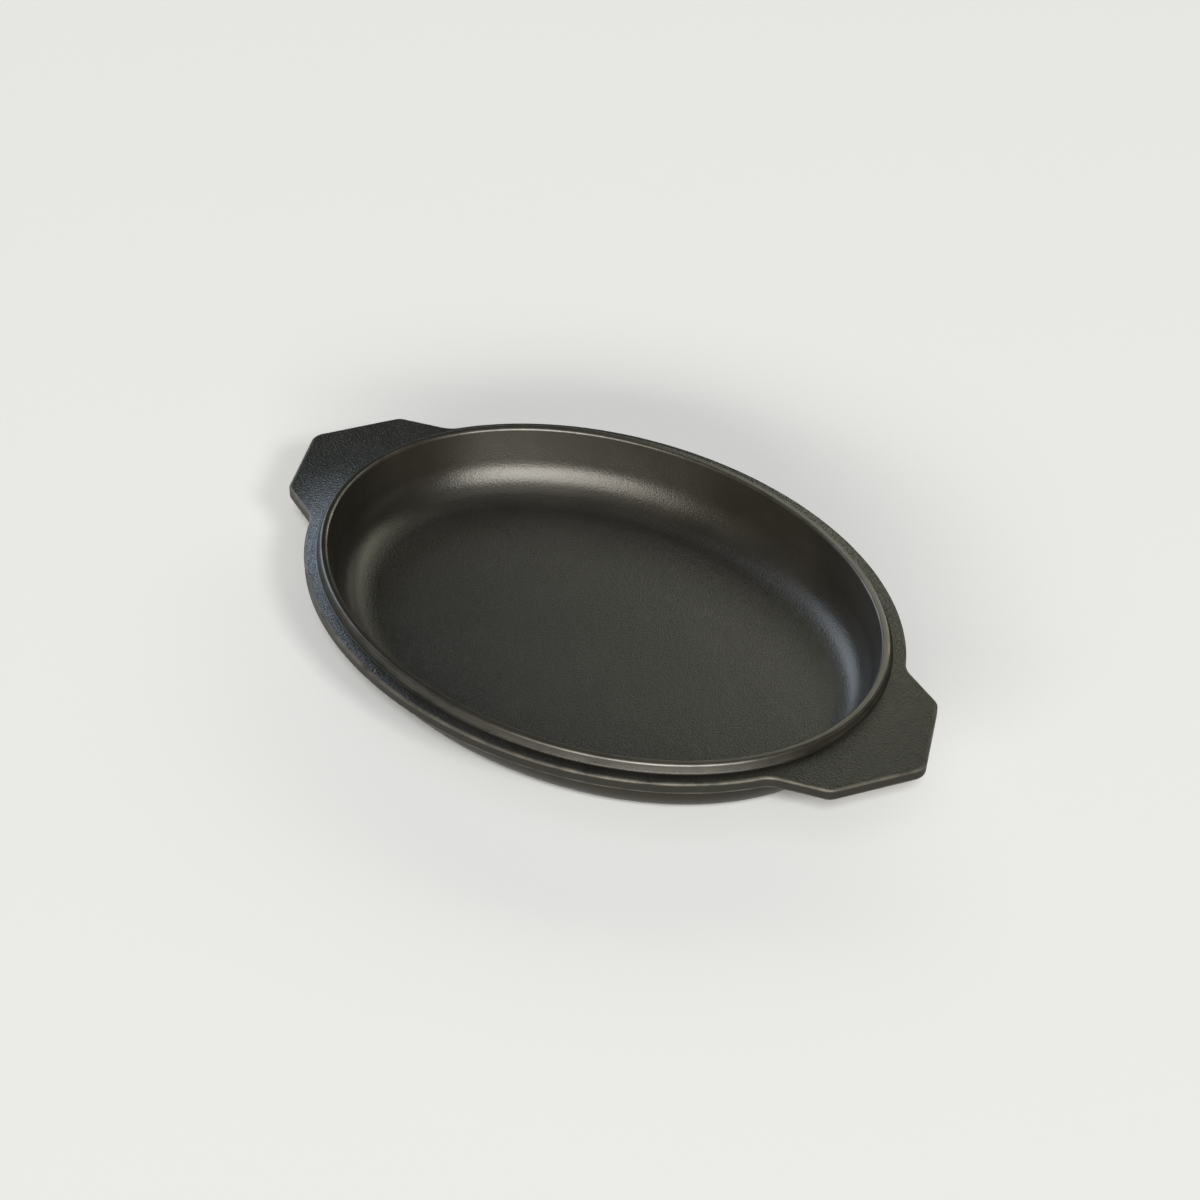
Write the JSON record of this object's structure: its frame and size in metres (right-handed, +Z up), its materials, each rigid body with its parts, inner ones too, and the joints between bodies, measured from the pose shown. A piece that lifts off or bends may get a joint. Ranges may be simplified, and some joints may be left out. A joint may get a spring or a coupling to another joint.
{
  "type": "oval dutch oven pan",
  "caption": "Shallow oval cast-iron dutch oven pan with a flat lid ledge, an upstanding locating lip, pointed tab handles at both ends and a satin enamel coat.",
  "frame": {"origin": "middle of the flat hob face under the pan", "axes": "+X along the long axis towards one handle's tip, +Y across the pan, +Z up out of the open bowl"},
  "size_m": [0.3278, 0.204, 0.0331],
  "materials": {
    "cast_iron": "charcoal sand-cast iron with open grain on the ledge and handles",
    "interior_enamel": "charcoal satin enamel, smooth on wall and lip, finely pebbled on the floor",
    "exterior_enamel": "warm charcoal satin enamel"
  },
  "bodies": {
    "root": {"pan_casting": "cast_iron", "interior_enamel": "interior_enamel", "exterior_enamel": "exterior_enamel"}
  },
  "joints": []
}
